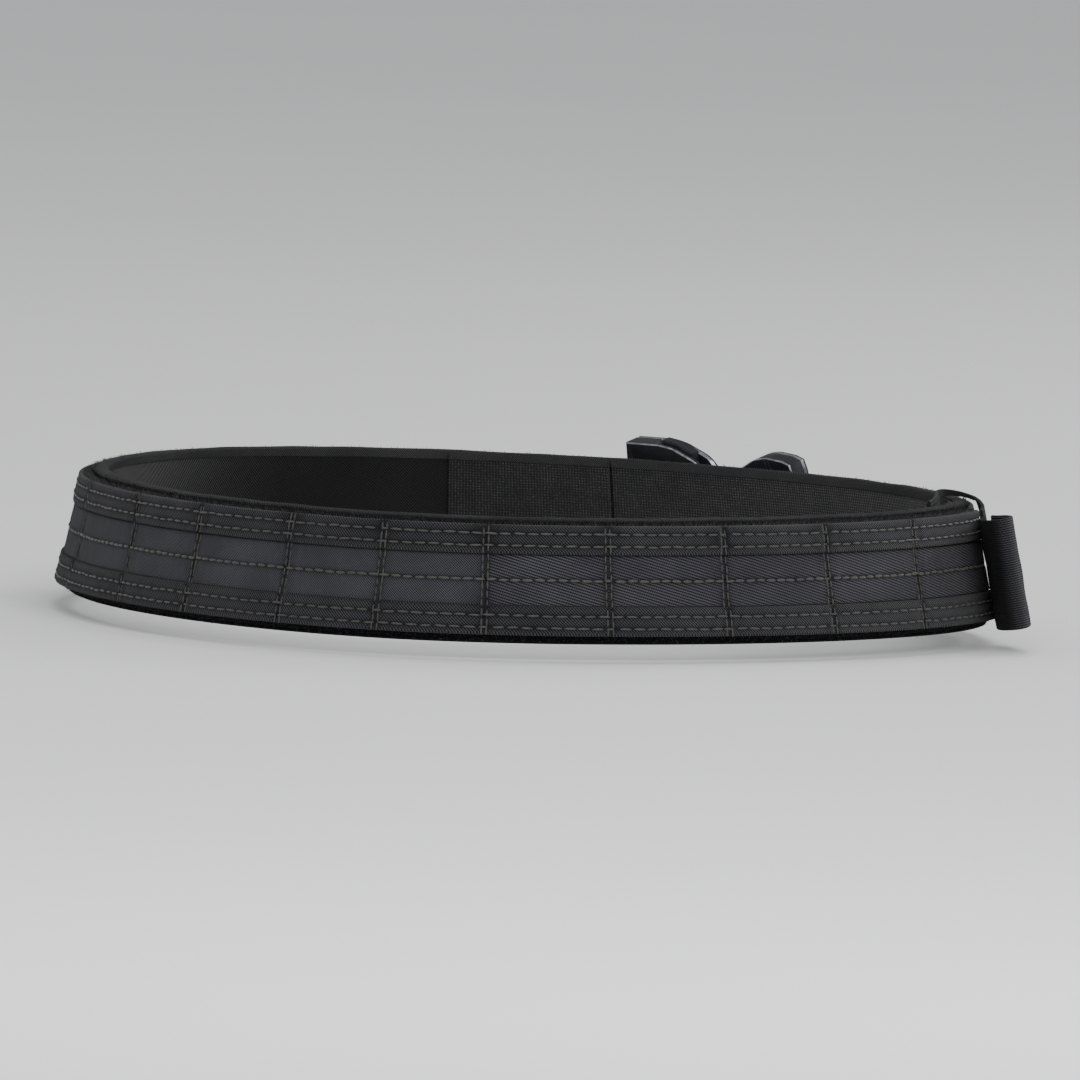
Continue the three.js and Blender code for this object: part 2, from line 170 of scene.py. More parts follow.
class Surface:
    """A node material under construction: a few helpers round one Principled shader."""

    def __init__(self, name, rough, metal=0.0):
        self.material = bpy.data.materials.new(name)
        self.material.use_nodes = True
        self.tree = self.material.node_tree
        self.shader = self.tree.nodes["Principled BSDF"]
        self.shader.inputs["Roughness"].default_value = rough
        self.shader.inputs["Metallic"].default_value = metal

    def node(self, kind, **settings):
        made = self.tree.nodes.new(kind)
        for key, value in settings.items():
            setattr(made, key, value)
        return made

    def join(self, source, target):
        self.tree.links.new(source, target)

    def math(self, operation, first, second=None, third=None):
        made = self.node("ShaderNodeMath", operation=operation)
        for i, value in enumerate((first, second, third)):
            if value is None:
                continue
            if isinstance(value, (int, float)):
                made.inputs[i].default_value = value
            else:
                self.join(value, made.inputs[i])
        return made.outputs[0]

    def cloth(self):
        """Distance along and height up the cloth, in millimetres, from the piece's own UV map."""
        uv = self.node("ShaderNodeUVMap", uv_map="cloth")
        split = self.node("ShaderNodeSeparateXYZ")
        self.join(uv.outputs[0], split.inputs[0])
        along = self.math("MULTIPLY", split.outputs[0], 1000.0)
        up = self.math("MULTIPLY", split.outputs[1], 1000.0)
        return along, up

    def object_point(self):
        return self.node("ShaderNodeTexCoord").outputs["Object"]

    def wave(self, value, pitch, lift=0.5):
        """A 0 to 1 ripple with the given pitch."""
        turned = self.math("MULTIPLY", value, 2 * math.pi / pitch)
        return self.math("MULTIPLY_ADD", self.math("SINE", turned), 0.5, lift)

    def noise(self, scale, detail=3.0, rough=0.6, point=None):
        made = self.node("ShaderNodeTexNoise")
        made.inputs["Scale"].default_value = scale
        made.inputs["Detail"].default_value = detail
        made.inputs["Roughness"].default_value = rough
        self.join(point or self.object_point(), made.inputs["Vector"])
        return made.outputs["Fac"]

    def ramp(self, value, stops):
        made = self.node("ShaderNodeValToRGB")
        elements = made.color_ramp.elements
        while len(elements) < len(stops):
            elements.new(0.5)
        for element, (place, colour) in zip(elements, stops):
            element.position = place
            element.color = (*colour, 1) if len(colour) == 3 else colour
        self.join(value, made.inputs[0])
        return made.outputs[0]

    def mix(self, share, first, second, blend="MIX"):
        made = self.node("ShaderNodeMix", data_type="RGBA", blend_type=blend)
        for i, value in ((0, share), (6, first), (7, second)):
            socket = made.inputs[i]
            if isinstance(value, (int, float)):
                socket.default_value = value
            elif isinstance(value, tuple):
                socket.default_value = (*value, 1)
            else:
                self.join(value, socket)
        return made.outputs[2]

    def shade(self, colour):
        """Paints shade: darkens the colour towards near-black where the piece's stored shade value is high,
        for shade along seams and folds, a shadow on the pull loop and random darker patches.
        """
        painted_shade = self.node("ShaderNodeAttribute", attribute_name="painted_shade").outputs["Fac"]
        return self.mix(painted_shade, colour, (0.006, 0.006, 0.007))

    def bump(self, height, strength, distance, after=None):
        made = self.node("ShaderNodeBump")
        made.inputs["Strength"].default_value = strength
        made.inputs["Distance"].default_value = distance
        self.join(height, made.inputs["Height"])
        if after is not None:
            self.join(after, made.inputs["Normal"])
        return made.outputs[0]

    def finish(self, colour, normal=None, roughness=None, **plain):
        self.join(colour, self.shader.inputs["Base Color"])
        if normal is not None:
            self.join(normal, self.shader.inputs["Normal"])
        if roughness is not None:
            self.join(roughness, self.shader.inputs["Roughness"])
        for name, value in plain.items():
            self.shader.inputs[name.replace("_", " ")].default_value = value
        return self.material


def twill_cloth(name, dark, light, pitch=0.85, sheen=0.08, lean=1.0, shaded=False, shine=0.1):
    """Fine diagonal twill: yarn ridges at 45 degrees, slubs, faded patches and a little lint."""
    s = Surface(name, 0.82)
    along, up = s.cloth()
    diagonal = s.math("MULTIPLY_ADD", up, lean, along)
    ridge = s.wave(diagonal, pitch)
    cross = s.wave(s.math("MULTIPLY_ADD", up, -lean, along), pitch * 1.5)
    yarn = s.math("MULTIPLY_ADD", ridge, 0.75, s.math("MULTIPLY", cross, 0.25))
    fine = s.noise(2600.0, 2.0)
    patch = s.noise(38.0, 4.0)
    tone = s.ramp(yarn, [(0.22, dark), (0.78, light)])
    faded = s.ramp(patch, [(0.3, (0.78, 0.78, 0.8)), (0.72, (1.22, 1.22, 1.2))])
    colour = s.mix(1.0, tone, faded, "MULTIPLY")
    lint = s.ramp(fine, [(0.35, (0.85, 0.85, 0.85)), (0.75, (1.2, 1.2, 1.2))])
    colour = s.mix(0.8, colour, lint, "MULTIPLY")
    # With `shaded`, painted shade from the stored per-point value darkens the colour.
    if shaded:
        colour = s.shade(colour)
    normal = s.bump(fine, 0.35, 0.0002)
    normal = s.bump(yarn, 0.9, 0.00045, normal)
    rough = s.math("MULTIPLY_ADD", patch, 0.16, 0.7)
    return s.finish(colour, normal, rough, Sheen_Weight=sheen, Sheen_Roughness=0.45, Specular_IOR_Level=shine)


def ribbed_webbing(name, dark, light, rib=0.95, slope=0.05, sheen=0.06, cross=0.7, shaded=False, shine=0.12):
    """Webbing: ribs that run along the strap, each a row of short floats."""
    s = Surface(name, 0.8)
    along, up = s.cloth()
    height = s.math("MULTIPLY_ADD", along, slope, up)
    ribs = s.wave(height, rib)
    row = s.math("FLOOR", s.math("DIVIDE", height, rib))
    shifted = s.math("MULTIPLY_ADD", row, cross * 0.5, along)
    floats = s.wave(shifted, cross)
    weave = s.math("MULTIPLY_ADD", floats, 0.35, s.math("MULTIPLY", ribs, 0.65))
    patch = s.noise(45.0, 4.0)
    fine = s.noise(3000.0, 2.0)
    tone = s.ramp(weave, [(0.15, dark), (0.85, light)])
    faded = s.ramp(patch, [(0.3, (0.8, 0.8, 0.82)), (0.72, (1.2, 1.2, 1.18))])
    colour = s.mix(1.0, tone, faded, "MULTIPLY")
    # With `shaded`, painted shade from the stored per-point value darkens the colour.
    if shaded:
        colour = s.shade(colour)
    normal = s.bump(fine, 0.25, 0.0002)
    normal = s.bump(weave, 0.9, 0.00045, normal)
    rough = s.math("MULTIPLY_ADD", patch, 0.18, 0.66)
    return s.finish(colour, normal, rough, Sheen_Weight=sheen, Sheen_Roughness=0.4, Specular_IOR_Level=shine)


def pile_cloth(name, dark, light, grain=1500.0):
    """Brushed loop pile: dense random tufts, nearly black in the gaps."""
    s = Surface(name, 0.95)
    tuft = s.noise(grain, 4.0, 0.75)
    broad = s.noise(90.0, 3.0)
    colour = s.ramp(tuft, [(0.38, dark), (0.72, light)])
    worn = s.ramp(broad, [(0.3, (0.7,) * 3), (0.75, (1.35,) * 3)])
    colour = s.mix(1.0, colour, worn, "MULTIPLY")
    normal = s.bump(tuft, 1.0, 0.0008)
    return s.finish(colour, normal, Sheen_Weight=0.05, Sheen_Roughness=0.6, Specular_IOR_Level=0.02)


def dotted_lining(name, dark, light, pitch=1.5):
    """Hook lining: a knitted ground with rows of small bright hooks between faint upright ribs."""
    s = Surface(name, 0.85)
    along, up = s.cloth()
    columns = s.wave(along, pitch)
    dots = s.math("MULTIPLY", columns, s.wave(up, pitch * 0.85))
    grit = s.noise(1700.0, 3.0)
    streak = s.noise(160.0, 3.0)
    spark = s.math("MULTIPLY", dots, s.ramp(grit, [(0.4, (0.15,) * 3), (0.68, (1.0,) * 3)]))
    spark = s.math("MULTIPLY_ADD", columns, 0.14, spark)
    colour = s.ramp(spark, [(0.1, dark), (0.85, light)])
    colour = s.mix(1.0, colour, s.ramp(streak, [(0.3, (0.65,) * 3), (0.7, (1.3,) * 3)]), "MULTIPLY")
    normal = s.bump(grit, 0.5, 0.0003)
    normal = s.bump(dots, 0.8, 0.0005, normal)
    return s.finish(colour, normal, Sheen_Weight=0.12, Sheen_Roughness=0.5, Specular_IOR_Level=0.25)


def thread(name, colour, light):
    s = Surface(name, 0.6)
    twist = s.noise(3500.0, 2.0)
    tone = s.ramp(twist, [(0.3, colour), (0.75, light)])
    return s.finish(tone, s.bump(twist, 0.5, 0.0002), Sheen_Weight=0.15, Specular_IOR_Level=0.4)


def anodised(name, dark, light, rough=0.46):
    """Satin anodised metal: fine bead-blast grain, faint rubbed patches and hairline scratches."""
    s = Surface(name, rough, 0.3)
    grain = s.noise(4200.0, 2.0)
    rub = s.noise(120.0, 5.0, 0.7)
    scratch = s.node("ShaderNodeTexNoise")
    stretch = s.node("ShaderNodeMapping")
    stretch.inputs["Scale"].default_value = (1.0, 30.0, 1.0)
    stretch.inputs["Rotation"].default_value = (0.0, 0.0, 0.6)
    s.join(s.object_point(), stretch.inputs["Vector"])
    s.join(stretch.outputs[0], scratch.inputs["Vector"])
    scratch.inputs["Scale"].default_value = 60.0
    lines = s.ramp(scratch.outputs["Fac"], [(0.66, (0.0,) * 3), (0.7, (1.0,) * 3)])
    tone = s.ramp(rub, [(0.35, dark), (0.75, light)])
    colour = s.mix(s.math("MULTIPLY", lines, 0.35), tone, tuple(3.0 * c for c in light))
    roughness = s.math("MULTIPLY_ADD", rub, 0.22, rough - 0.1)
    return s.finish(colour, s.bump(grain, 0.2, 0.0001), roughness, Specular_IOR_Level=0.12,
                    Specular_Tint=(0.3, 0.3, 0.33, 1))


def worn_edge(name, colour):
    s = Surface(name, 0.28, 1.0)
    rub = s.noise(600.0, 4.0)
    tone = s.ramp(rub, [(0.35, tuple(0.45 * c for c in colour)), (0.7, colour)])
    return s.finish(tone, s.bump(rub, 0.2, 0.0001))


def brushed_steel(name, colour):
    s = Surface(name, 0.32, 1.0)
    rub = s.noise(900.0, 3.0)
    tone = s.ramp(rub, [(0.3, tuple(0.6 * c for c in colour)), (0.75, colour)])
    return s.finish(tone, s.bump(rub, 0.25, 0.0001))


# The grey band, centre, panel and loop cloths take painted shade from the stored per-point value
# (shaded=True).
BAND_TWILL = twill_cloth("grey band twill", (0.001, 0.001, 0.0014), (0.059, 0.059, 0.065), 0.95, shaded=True)
CENTRE_TWILL = twill_cloth("grey centre twill", (0.007, 0.007, 0.009), (0.08, 0.079, 0.092), 0.8, shaded=True)
PANEL_WEB = ribbed_webbing("grey panel webbing", (0.002, 0.002, 0.003), (0.074, 0.073, 0.085), 0.95, 0.3,
                           shaded=True)
LOOP_WEB = ribbed_webbing("grey loop webbing", (0.006, 0.006, 0.007), (0.085, 0.085, 0.093), 0.72, 0.0, 0.02,
                          shaded=True, shine=0.04)
BLACK_WEB = ribbed_webbing("black webbing", (0.004, 0.004, 0.0045), (0.026, 0.026, 0.028), 1.3, 0.0, 0.05,
                           shine=0.1)
BLACK_PILE = pile_cloth("black pile", (0.002, 0.002, 0.002), (0.018, 0.018, 0.019))
BLACK_TWILL = twill_cloth("black lining twill", (0.002, 0.002, 0.0022), (0.017, 0.017, 0.0175), 1.0, 0.1,
                         shine=0.12)
BLACK_HOOK = dotted_lining("black hook lining", (0.005, 0.005, 0.0052), (0.062, 0.062, 0.063), 1.05)
BINDING_CLOTH = twill_cloth("charcoal binding", (0.012, 0.012, 0.0125), (0.068, 0.068, 0.07), 0.8, 0.0,
                             shine=0.04)
FOOT_CLOTH = twill_cloth("black foot binding", (0.003, 0.003, 0.0032), (0.022, 0.022, 0.0225), 0.8, 0.0,
                          shine=0.03)
GREY_THREAD = thread("grey thread", (0.016, 0.017, 0.015), (0.068, 0.07, 0.063))
DARK_THREAD = thread("dark thread", (0.01, 0.01, 0.0095), (0.06, 0.061, 0.055))
BLACK_PILE_HAIR = thread("black hair", (0.003, 0.003, 0.003), (0.022, 0.022, 0.0225))
BLACK_THREAD = thread("black thread", (0.012, 0.012, 0.013), (0.04, 0.04, 0.042))
GUNMETAL = anodised("gunmetal", (0.017, 0.017, 0.02), (0.03, 0.03, 0.035))
EDGE_METAL = worn_edge("rubbed edge", (0.42, 0.42, 0.45))
STEEL = brushed_steel("steel", (0.35, 0.35, 0.36))


# --- Mesh kit --------------------------------------------------------------------------------------

def new_piece(name, mesh, body, replaced, slot, *materials, smooth=True):
    for material in materials:
        mesh.materials.append(material)
    if smooth:
        mesh.shade_smooth()
        mesh.set_sharp_from_angle(angle=50 * DEG)
    piece = bpy.data.objects.new("finished_" + name.replace(" ", "_"), mesh)
    bpy.context.scene.collection.objects.link(piece)
    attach(piece, body)
    if replaced:
        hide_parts(*replaced)
    return piece


def grid_mesh(name, rows, uvs, closed):
    """A skin over rows of points, each row a closed section; `closed` joins the last row to the first."""
    mesh = bpy.data.meshes.new(name)
    count, width = len(rows), len(rows[0])
    points = [p for row in rows for p in row]
    faces, corners = [], []
    for i in range(count if closed else count - 1):
        j = (i + 1) % count
        for k in range(width):
            m = (k + 1) % width
            faces.append((i * width + k, j * width + k, j * width + m, i * width + m))
            corners += [(i, k, 0), (i, k, 1), (i, k, 2), (i, k, 3)]
    if not closed:
        faces.append(tuple(range(width)))
        corners += [(0, k, 4) for k in range(width)]
        last = (count - 1) * width
        faces.append(tuple(last + k for k in reversed(range(width))))
        corners += [(count - 1, k, 4) for k in reversed(range(width))]
    mesh.from_pydata(points, [], faces)
    layer = mesh.uv_layers.new(name="cloth")
    for loop, (i, k, kind) in zip(layer.data, corners):
        u, v = uvs(i + (kind in (1, 2)), k + (kind in (2, 3)))
        loop.uv = (u, v)
    return mesh


def rounded_section(near, far, low, high, corner, across):
    """(out, height) points round a flat band's section: its outer face first, low to high, then its back."""
    points = []
    for i in range(across + 1):
        points.append((far, low + corner + (high - low - 2 * corner) * i / across))
    middle = (near + far) / 2
    reach = (far - near) / 2
    for i in range(1, 6):
        turn = math.pi * i / 6
        points.append((middle + reach * math.cos(turn), high - corner + corner * math.sin(turn)))
    for i in range(5):
        points.append((near, high - corner - (high - low - 2 * corner) * i / 4))
    for i in range(1, 6):
        turn = math.pi * i / 6
        points.append((middle - reach * math.cos(turn), low + corner - corner * math.sin(turn)))
    return points


def hoop_band(name, section, start, end, step, shape=None):
    """Sweeps a section round the hoop; `shape(arc, out, height)` moves each point outwards."""
    closed = end - start >= FULL_TURN - 1e-6
    first, last = arc_at(start), arc_at(end)
    count = max(2, round((last - first) / step))
    arcs = [first + (last - first) * i / count for i in range(count + (0 if closed else 1))]
    lengths = [0.0]
    for (a, b) in zip(section, section[1:] + section[:1]):
        lengths.append(lengths[-1] + math.dist(a, b))
    rows = []
    for arc in arcs:
        angle = angle_at(arc)
        row = []
        for out, height in section:
            push, lift = shape(arc, out, height) if shape else (0, 0)
            row.append(hoop(angle, out + push, height + lift))
        rows.append(row)
    spacing = (last - first) / count
    return grid_mesh(name, rows, lambda i, k: (first + i * spacing, section[0][1] + lengths[k]), closed)


# --- Camera, floor and light -----------------------------------------------------------------------

VIEW_WIDTH = 342.857 * MM  # at the belt
VIEW_RAISE = 4.25 * DEG
VIEW_ROLL = 1.75 * DEG
FAR_AWAY = 12.0


def make_camera():
    data = bpy.data.cameras.new("camera")
    data.sensor_width = 36
    data.lens = 36 * FAR_AWAY / VIEW_WIDTH
    data.clip_start, data.clip_end = 0.05, 50
    camera = bpy.data.objects.new("camera", data)
    bpy.context.scene.collection.objects.link(camera)
    back = Vector((0, -math.cos(VIEW_RAISE), math.sin(VIEW_RAISE)))
    up = Vector((0, math.sin(VIEW_RAISE), math.cos(VIEW_RAISE)))
    right = Vector((1, 0, 0))
    turned_right = right * math.cos(VIEW_ROLL) + up * math.sin(VIEW_ROLL)
    turned_up = up * math.cos(VIEW_ROLL) - right * math.sin(VIEW_ROLL)
    # The middle of the view: the hoop's own middle, moved by these shares of the view's width.
    across, rise = 0.0322, -0.0615
    target = SHIFT + turned_right * (across * VIEW_WIDTH) - turned_up * (rise * VIEW_WIDTH)
    camera.location = target + back * FAR_AWAY
    axes = Matrix((turned_right, turned_up, back)).transposed()
    camera.rotation_euler = axes.to_euler()
    bpy.context.scene.camera = camera


def make_floor():
    mesh = bpy.data.meshes.new("floor")
    size = 6.0
    ground = cad_box[0][2] - 0.0002
    corners = [(-size, -size), (size, -size), (size, size), (-size, size)]
    mesh.from_pydata([(x, y, ground) for x, y in corners], [], [(0, 1, 2, 3)])
    s = Surface("pale floor", 0.75)
    tone = s.ramp(s.noise(3.0), [(0.3, (0.78, 0.78, 0.78)), (0.7, (0.8, 0.8, 0.8))])
    mesh.materials.append(s.finish(tone))
    floor = bpy.data.objects.new("floor", mesh)
    bpy.context.scene.collection.objects.link(floor)


def area_light(name, place, target, size, power):
    data = bpy.data.lights.new(name, "AREA")
    data.shape = "RECTANGLE"
    data.size, data.size_y = size
    data.energy = power
    lamp = bpy.data.objects.new(name, data)
    bpy.context.scene.collection.objects.link(lamp)
    lamp.location = place
    lamp.rotation_euler = (Vector(target) - Vector(place)).to_track_quat("-Z", "Y").to_euler()


def make_lights():
    world = bpy.data.worlds.new("studio")
    world.use_nodes = True
    backdrop = world.node_tree.nodes["Background"]
    backdrop.inputs[0].default_value = (0.93, 0.94, 0.96, 1)
    backdrop.inputs[1].default_value = 0.62
    bpy.context.scene.world = world
    area_light("key", (0.35, -1.7, 1.0), (0, 0, 0.02), (1.3, 0.7), 27)
    area_light("top", (0.2, 0.3, 1.8), (0, 0, 0), (1.2, 1.2), 10)
    area_light("rim", (1.4, 1.3, 0.9), (0, 0, 0.02), (0.8, 0.5), 12)


# --- Outer belt ------------------------------------------------------------------------------------

STITCH_ROWS = (35.2 * MM, 31.35 * MM, 20.5 * MM, 9.3 * MM, 5.45 * MM)


def sewn(arc, height):
    """How far the sewn face stands out from flat: channels swell, stitch lines and columns pull in."""
    nearest = min(abs(arc - column) for column in COLUMNS)
    swell = 0.32 * (1 - math.exp(-((nearest / (7 * MM)) ** 2)))
    pull = -0.55 * math.exp(-((nearest / (0.9 * MM)) ** 2))
    rows = 0.0
    for row in STITCH_ROWS:
        rows -= 0.24 * math.exp(-(((height - row) / (0.75 * MM)) ** 2))
    ripple = 0.34 * bump_noise(arc, height, 17 * MM, 1.7) + 0.16 * bump_noise(arc, height, 5 * MM, 4.1)
    pucker = 0.55 * bump_noise(arc * 1.6, height * 0.7, 4 * MM, 8.3) * math.exp(-((nearest / (6 * MM)) ** 2))
    return (swell + pull + rows + ripple + pucker) * MM


def painted_shade(arc, height):
    """Painted shade on the sewn face: darkening along stitch lines, round columns, at the band edges and
    below the top edge near the columns, plus random darker patches.
    """
    nearest = min(abs(arc - column) for column in COLUMNS)
    value = 0.7 * math.exp(-(((nearest - 0.8 * MM) / (0.5 * MM)) ** 2))
    value += 0.25 * math.exp(-((nearest / (3 * MM)) ** 2))
    for row in STITCH_ROWS:
        value += 0.78 * math.exp(-(((height - row) / (0.8 * MM)) ** 2))
    for edge in (OUTER_LOW + BAND_WIDTH, OUTER_HIGH - BAND_WIDTH):
        value += 0.6 * math.exp(-(((height - edge) / (0.55 * MM)) ** 2))
    # Painted shade below the top edge beside the columns.
    column_top_shade = math.exp(-(((nearest - 2 * MM) / (4 * MM)) ** 2))
    column_top_shade *= math.exp(-(((height - 36 * MM) / (5 * MM)) ** 2))
    value += column_top_shade * (0.35 + 0.6 * bump_noise(arc, height, 5 * MM, 9.1))
    value += 0.3 * max(0.0, bump_noise(arc, height, 11 * MM, 12.4))
    return max(0.0, min(0.85, value))


def store_painted_shade(mesh, amount):
    """Stores the painted shade `amount(arc, height)` on every point, found from the piece's own cloth map."""
    values = [0.0] * len(mesh.vertices)
    for loop, uv in zip(mesh.loops, mesh.uv_layers["cloth"].data):
        values[loop.vertex_index] = amount(uv.uv[0], uv.uv[1])
    layer = mesh.attributes.new("painted_shade", "FLOAT", "POINT")
    layer.data.foreach_set("value", values)


def sewn_face(far):
    """A shape that moves only a band's outer face, fading to nothing at its back."""
    def shape(arc, out, height):
        share = max(0.0, min(1.0, (out - far + 1.0 * MM) / (1.0 * MM)))
        return sewn(arc, height) * share, 0.0
    return shape


def wavy_edge(height_amount, seed):
    def shape(arc, out, height):
        return 0.0, height_amount * bump_noise(arc, 0, 14 * MM, seed)
    return shape


def edge_band(name, node, low, high):
    section = rounded_section(7.45 * MM, 8.8 * MM, low, high, 0.62 * MM, 26)
    mesh = hoop_band(name, section, PANEL_START, PANEL_END, 0.7 * MM, sewn_face(8.8 * MM))
    # Painted shade along the stitch rows, columns and band edges, stored per point.
    store_painted_shade(mesh, painted_shade)
    new_piece(name, mesh, "outer_belt", [node], "grey_twill", BAND_TWILL)


def centre_band():
    low, high = OUTER_LOW + BAND_WIDTH + 0.05 * MM, OUTER_HIGH - BAND_WIDTH - 0.05 * MM
    section = rounded_section(7.35 * MM, 8.0 * MM, low, high, 0.2 * MM, 30)
    mesh = hoop_band("centre band", section, PANEL_START, PANEL_END, 0.7 * MM, sewn_face(8.0 * MM))
    # Painted shade along the stitch rows, columns and band edges, stored per point.
    store_painted_shade(mesh, painted_shade)
    piece = new_piece("centre band", mesh, "outer_belt", ["centre_band"], "grey_webbing", CENTRE_TWILL,
                      PANEL_WEB)
    layer = mesh.uv_layers["cloth"].data
    for polygon in mesh.polygons:
        if layer[polygon.loop_start].uv[0] > WEBBING_FROM:
            polygon.material_index = 1
    return piece


def ring(name, node, body, layer, edges, angles, slot, material, corner, shape=None, step=2 * MM):
    section = rounded_section(layer[0], layer[1], edges[0], edges[1], corner, 10)
    mesh = hoop_band(name, section, angles[0], angles[1], step, shape)
    return new_piece(name, mesh, body, [node], slot, material)


def outer_belt():
    panel = (PANEL_START, PANEL_END)
    edge_band("lower edge band", "lower_edge_band", OUTER_LOW, OUTER_LOW + BAND_WIDTH)
    edge_band("upper edge band", "upper_edge_band", OUTER_HIGH - BAND_WIDTH, OUTER_HIGH)
    centre_band()
    ring("outer belt core", "outer_belt_core", "outer_belt", (5.4 * MM, 7.25 * MM),
         (OUTER_LOW + 0.2 * MM, OUTER_HIGH - 0.2 * MM), panel, "black_webbing", BLACK_WEB, 0.5 * MM)
    ring("outer hook lining", "outer_hook_lining", "outer_belt", (4.3 * MM, 5.2 * MM),
         (OUTER_LOW + 1 * MM, OUTER_HIGH - 1 * MM), panel, "black_hook_and_loop", BLACK_PILE, 0.3 * MM)


# --- Inner belt ------------------------------------------------------------------------------------

def hem(name, body, layer, edges, angles):
    section = rounded_section(layer[0], layer[1], edges[0], edges[1], 0.25 * MM, 6)
    mesh = hoop_band(name, section, angles[0], angles[1], 1.5 * MM, wavy_edge(0.12 * MM, 3.3))
    new_piece(name, mesh, body, [], "black_webbing", BINDING_CLOTH)


def inner_belt():
    whole = (0.0, FULL_TURN)
    lap, flap = (LAP_START, LAP_END), (FLAP_ROOT, OVERLAP_EDGE)
    belt_hem, lap_hem = (-0.3 * MM, 0.2 * MM), (-1.8 * MM, -1.3 * MM)
    lap_top, lap_foot = (37.0 * MM, 39.4 * MM), (0.9 * MM, 3.2 * MM)
    hem("top hem", "inner_belt", belt_hem, (36.9 * MM, 39.6 * MM), whole)
    hem("foot hem", "inner_belt", belt_hem, (0.5 * MM, 3.2 * MM), whole)
    hem("lap top hem", "inner_belt", lap_hem, lap_top, lap)
    hem("lap foot hem", "inner_belt", lap_hem, lap_foot, lap)
    hem("flap top hem", "overlap_flap", lap_hem, lap_top, flap)
    hem("flap foot hem", "overlap_flap", lap_hem, lap_foot, flap)
    low, high = 1.1 * MM, 38.9 * MM
    ring("inner belt core", "inner_belt_core", "inner_belt", (1.1 * MM, 2.9 * MM), (low, high), whole,
         "black_webbing", BLACK_WEB, 0.4 * MM)
    ring("inner loop face", "inner_loop_face", "inner_belt", (3.0 * MM, 4.0 * MM), (low, high), whole,
         "black_hook_and_loop", BLACK_PILE, 0.4 * MM, wavy_edge(0.25 * MM, 2.2))
    ring("inner lining", "inner_lining", "inner_belt", (0.0, 0.95 * MM), (low, high), whole,
         "black_webbing", BLACK_TWILL, 0.3 * MM)
    ring("upper binding", "inner_upper_binding", "inner_belt", (-0.15 * MM, 4.0 * MM), (38.5 * MM, 40.1 * MM),
         whole, "black_hook_and_loop", BINDING_CLOTH, 0.7 * MM, wavy_edge(0.2 * MM, 5.4), 1.2 * MM)
    ring("lower binding", "inner_lower_binding", "inner_belt", (-0.1 * MM, 4.1 * MM), (0.0, 1.6 * MM), whole,
         "black_hook_and_loop", FOOT_CLOTH, 0.7 * MM, None, 1.2 * MM)
    ring("lap lining", "inner_lap_lining", "inner_belt", (-1.5 * MM, -0.25 * MM), (low, high),
         lap, "black_hook_and_loop", BLACK_HOOK, 0.2 * MM)
    ring("overlap flap", "inner_overlap_flap", "overlap_flap", (-1.5 * MM, -0.25 * MM),
         (low, high + 0.4 * MM), flap, "black_hook_and_loop", BLACK_HOOK, 0.2 * MM)


# --- Ribbons beside the hoop -----------------------------------------------------------------------

def face_frame(angle, out):
    """Origin, and the directions along the belt, down its face and out of it."""
    along = Vector((math.sin(angle), -math.cos(angle), 0))
    facing = outward(angle)
    return hoop(angle, out, BELT_HEIGHT / 2), along, facing.cross(along), facing


def in_frame(frame_axes, along, down, out):
    origin, x, y, z = frame_axes
    return origin + x * along + y * down + z * out


def smooth_path(points, per_span):
    """A Catmull-Rom curve through the points."""
    padded = [points[0] * 2 - points[1], *points, points[-1] * 2 - points[-2]]
    path = []
    for i in range(1, len(padded) - 2):
        a, b, c, d = padded[i - 1:i + 3]
        for j in range(per_span):
            t = j / per_span
            path.append(0.5 * (2 * b + (c - a) * t + (2 * a - 5 * b + 4 * c - d) * t * t
                               + (3 * b - a - 3 * c + d) * t ** 3))
    path.append(points[-1].copy())
    return path


def ribbon_mesh(name, lows, highs, thickness, across=14, ripple=0.0, seed=0.0):
    """A flat strap standing between a low and a high edge, with rounded selvedges."""
    count = len(lows)
    rows, travelled, arcs = [], 0.0, []
    for i in range(count):
        before, after = max(i - 1, 0), min(i + 1, count - 1)
        heading = (highs[after] + lows[after] - highs[before] - lows[before]).normalized()
        rise = highs[i] - lows[i]
        width = rise.length
        rise.normalize()
        side = heading.cross(rise).normalized()
        if i:
            travelled += ((lows[i] + highs[i] - lows[i - 1] - highs[i - 1]) / 2).length
        arcs.append(travelled)
        half = thickness / 2
        section = rounded_section(-half, half, 0.0, width, half, across)
        row = []
        for out, height in section:
            push = ripple * bump_noise(travelled, height, 9 * MM, seed)
            row.append(lows[i] + rise * height + side * (out + push))
        rows.append(row)
    lengths = [0.0]
    for a, b in zip(section, section[1:] + section[:1]):
        lengths.append(lengths[-1] + math.dist(a, b))
    arcs.append(arcs[-1])
    return grid_mesh(name, rows, lambda i, k: (arcs[min(i, count - 1)], lengths[k]), False)


def turned_outwards(mesh):
    """Recalculates the normals so that every face looks out of the closed skin."""
    work = bmesh.new()
    work.from_mesh(mesh)
    bmesh.ops.recalc_face_normals(work, faces=work.faces)
    work.to_mesh(mesh)
    work.free()
    return mesh


LOOP_PATH = [(-2, 1.2), (8, 1.9), (20, 4), (32, 8), (39.5, 12), (41, 14.5), (36.5, 15.8), (27, 15), (17, 12),
             (8, 7.6), (-1, 4.2)]
LOOP_EDGES = (0.2 * MM, 35.6 * MM)
LOOP_WEB_THICKNESS = 1.15 * MM
LOOP_SHADOW = 0.97  # painted shadow on the loop's inner leg
LOOP_SHADOW_END = 52 * MM  # walked along the loop, past the fold
LOOP_SHADOW_FADE = 10 * MM


# Painted shadow: near-black over the loop's inner leg, fading out past the fold.
def loop_painted_shadow(arc, height):
    return LOOP_SHADOW * max(0.0, min(1.0, (LOOP_SHADOW_END - arc) / LOOP_SHADOW_FADE))


